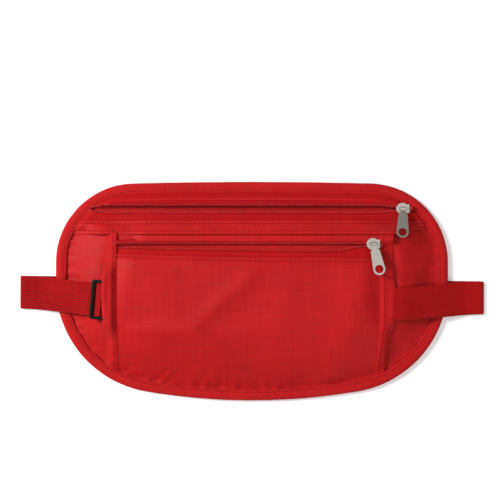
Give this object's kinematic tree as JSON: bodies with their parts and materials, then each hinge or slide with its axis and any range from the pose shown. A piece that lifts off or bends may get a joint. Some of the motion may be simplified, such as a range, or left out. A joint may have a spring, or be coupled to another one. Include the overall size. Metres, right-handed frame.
{
  "type": "money belt",
  "caption": "Flat zipped waist pouch with a main pocket and a smaller front pocket, edge binding, elastic waist strap, strap adjuster and side-release buckle.",
  "frame": {"origin": "middle of the pouch on the surface it lies on, at the centre of the bounding box's bottom face", "axes": "+X along the belt, +Y up the wearer, +Z out of the pouch's front"},
  "size_m": [0.31, 0.146, 0.0202],
  "materials": {
    "ripstop_cloth": "satin ripstop weave",
    "binding_tape": "matte plain weave tape",
    "zipper_tape": "matte knitted tape",
    "zipper_coil": "satin moulded coil",
    "ribbed_elastic": "ribbed woven elastic",
    "plain_webbing": "flat woven elastic",
    "nickel": "polished nickel plate",
    "black_plastic": "moulded acetal"
  },
  "bodies": {
    "pouch": {"back_panel": "ripstop_cloth", "edge_binding": "binding_tape", "front_panel": "ripstop_cloth", "top_panel": "ripstop_cloth", "facing_band": "ripstop_cloth", "main_tape_lower": "zipper_tape", "main_coil_lower": "zipper_coil", "main_tape_upper": "zipper_tape", "main_coil_upper": "zipper_coil", "main_zip_stops": "zipper_coil", "pocket_panel": "ripstop_cloth", "pocket_tape_lower": "zipper_tape", "pocket_coil_lower": "zipper_coil", "pocket_tape_upper": "zipper_tape", "pocket_coil_upper": "zipper_coil", "pocket_top_hem": "ripstop_cloth", "pocket_zip_stops": "zipper_coil", "pocket_binding_left": "binding_tape", "pocket_binding_right": "binding_tape", "strap_left_front": "ribbed_elastic", "strap_left_back": "ribbed_elastic", "strap_right_front": "plain_webbing", "strap_right_back": "plain_webbing", "buckle_female": "black_plastic", "strap_left_end_loop": "ribbed_elastic"},
    "main_slider": {"main_slider": "nickel", "main_slider_lug": "nickel"},
    "main_pull": {"main_pull_tab": "nickel"},
    "pocket_slider": {"pocket_slider": "nickel", "pocket_slider_lug": "nickel"},
    "pocket_pull": {"pocket_pull_tab": "nickel"},
    "adjuster": {"tri_glide": "black_plastic", "tri_glide_loop": "ribbed_elastic"},
    "buckle_male": {"buckle_male": "black_plastic", "strap_right_end_loop": "plain_webbing"},
    "prong_upper": {"buckle_prong_upper": "black_plastic"},
    "prong_lower": {"buckle_prong_lower": "black_plastic"}
  },
  "joints": [
    {"name": "main_zip", "type": "slide", "parent": "pouch", "child": "main_slider", "axis": [-1, 0, 0], "range_m": [0, 0.192], "deforming": ["main_tape_lower", "main_coil_lower", "main_tape_upper", "main_coil_upper"]},
    {"name": "main_pull_swing", "type": "hinge", "parent": "main_slider", "child": "main_pull", "pos_m": [0.1004, 0.055, 0.00913], "axis": [-1, 0, 0], "range_deg": [0, 145]},
    {"name": "pocket_zip", "type": "slide", "parent": "pouch", "child": "pocket_slider", "axis": [-1, 0, 0], "range_m": [0, 0.164], "deforming": ["pocket_tape_lower", "pocket_coil_lower", "pocket_tape_upper", "pocket_coil_upper"]},
    {"name": "pocket_pull_swing", "type": "hinge", "parent": "pocket_slider", "child": "pocket_pull", "pos_m": [0.08, 0.0315, 0.01753], "axis": [-1, 0, 0], "range_deg": [0, 170]},
    {"name": "adjuster_slide", "type": "slide", "parent": "pouch", "child": "adjuster", "axis": [-0.9651, 0.081, -0.2489], "range_m": [0, 0.032]},
    {"name": "buckle_release", "type": "slide", "parent": "pouch", "child": "buckle_male", "axis": [0.9999, -0.0123, 0], "range_m": [0, 0.024], "deforming": ["strap_right_back", "buckle_prong_upper", "buckle_prong_lower"]},
    {"name": "prong_upper_press", "type": "hinge", "parent": "buckle_male", "child": "prong_upper", "pos_m": [-0.07629, 0.00684, 0.0028], "axis": [0, 0, 1], "range_deg": [0, 12], "stiffness_Nm_per_rad": 0.2},
    {"name": "prong_lower_press", "type": "hinge", "parent": "buckle_male", "child": "prong_lower", "pos_m": [-0.0765, -0.01016, 0.0028], "axis": [0, 0, -1], "range_deg": [0, 12], "stiffness_Nm_per_rad": 0.2}
  ]
}
